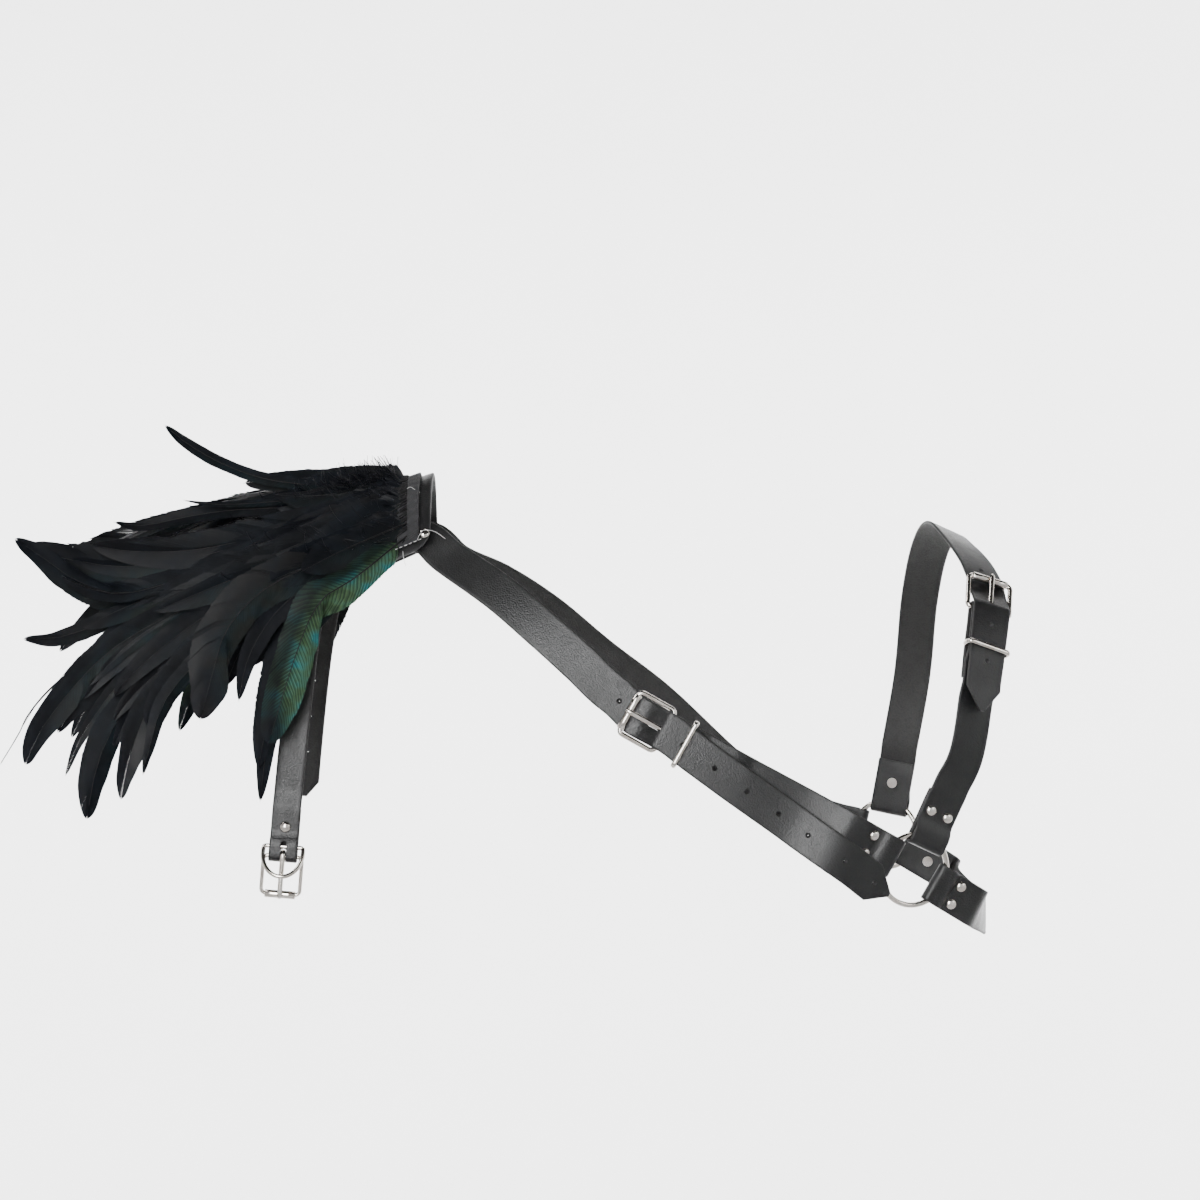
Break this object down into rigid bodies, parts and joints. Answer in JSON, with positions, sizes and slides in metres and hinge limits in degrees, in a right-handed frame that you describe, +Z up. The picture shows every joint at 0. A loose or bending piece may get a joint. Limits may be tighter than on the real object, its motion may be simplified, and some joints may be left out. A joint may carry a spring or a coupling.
{
  "type": "feathered shoulder harness",
  "caption": "One-shoulder leather pad with a trim of long feathers, worn on riveted straps that cross the body through rings and roller buckles.",
  "frame": {"origin": "top of the wearer's left shoulder, on the underside of the pad, where the worn harness sits", "axes": "+Z up, +Y the way the wearer faces, +X to the wearer's right"},
  "size_m": [0.6448, 0.272, 0.3299],
  "materials": {
    "strap_leather": "black pebbled leather, semi-gloss, with paler cut edges",
    "pad_leather": "black smooth leather, semi-gloss",
    "nickel": "bright nickel plate",
    "plumage": "blue-black feathers with a green sheen, on a woven tape"
  },
  "bodies": {
    "harness": {"back_buckle_strap": "strap_leather", "back_tail_strap": "strap_leather", "back_buckle_frame": "nickel", "back_buckle_roller": "nickel", "back_buckle_prong": "nickel", "back_keeper": "nickel", "back_ring_rivet_upper": "nickel", "back_ring_rivet_lower": "nickel", "back_fold_rivet": "nickel", "shoulder_buckle_strap": "strap_leather", "shoulder_tail_strap": "strap_leather", "shoulder_buckle_frame": "nickel", "shoulder_buckle_roller": "nickel", "shoulder_buckle_prong": "nickel", "shoulder_keeper": "nickel", "shoulder_ring_rivet_upper": "nickel", "shoulder_ring_rivet_lower": "nickel", "shoulder_fold_rivet": "nickel", "side_strap": "strap_leather", "front_strap": "strap_leather", "back_ring": "nickel", "front_ring": "nickel", "side_ring_rivet_upper": "nickel", "side_ring_rivet_lower": "nickel", "side_front_rivet": "nickel", "shoulder_front_rivet": "nickel", "front_ring_rivet": "nickel", "arm_strap": "strap_leather", "arm_rivet": "nickel", "arm_front_strap": "strap_leather", "shoulder_pad": "pad_leather", "back_pad_rivet": "nickel", "front_pad_rivet": "nickel", "arm_pad_rivet": "nickel", "arm_front_pad_rivet": "nickel", "feather_trim_back": "plumage", "feather_trim_top": "plumage", "feather_trim_front": "plumage"},
    "arm_buckle": {"arm_buckle_frame": "nickel"},
    "arm_roller": {"arm_buckle_roller": "nickel"},
    "arm_prong": {"arm_buckle_prong": "nickel"},
    "arm_keeper": {"arm_keeper": "nickel"}
  },
  "joints": [
    {"name": "arm_buckle_swing", "type": "hinge", "parent": "harness", "child": "arm_buckle", "pos_m": [-0.05971, -0.086, -0.22935], "axis": [-0.9967, 0, 0.0813], "range_deg": [-75, 0]},
    {"name": "arm_prong_swing", "type": "hinge", "parent": "arm_buckle", "child": "arm_prong", "pos_m": [-0.05971, -0.086, -0.22935], "axis": [-0.9967, 0, 0.0813], "range_deg": [0, 110]},
    {"name": "arm_roller_spin", "type": "hinge", "parent": "arm_buckle", "child": "arm_roller", "pos_m": [-0.06166, -0.0844, -0.25322], "axis": [-0.9967, 0, 0.0813], "continuous": true},
    {"name": "arm_keeper_swing", "type": "hinge", "parent": "harness", "child": "arm_keeper", "pos_m": [-0.05922, -0.086, -0.22338], "axis": [-0.9967, -0.0001, 0.0809], "range_deg": [0, 125]}
  ],
  "couplings": [
    {"joint": "arm_keeper_swing", "follows": "arm_prong_swing", "ratio": 1.1}
  ]
}
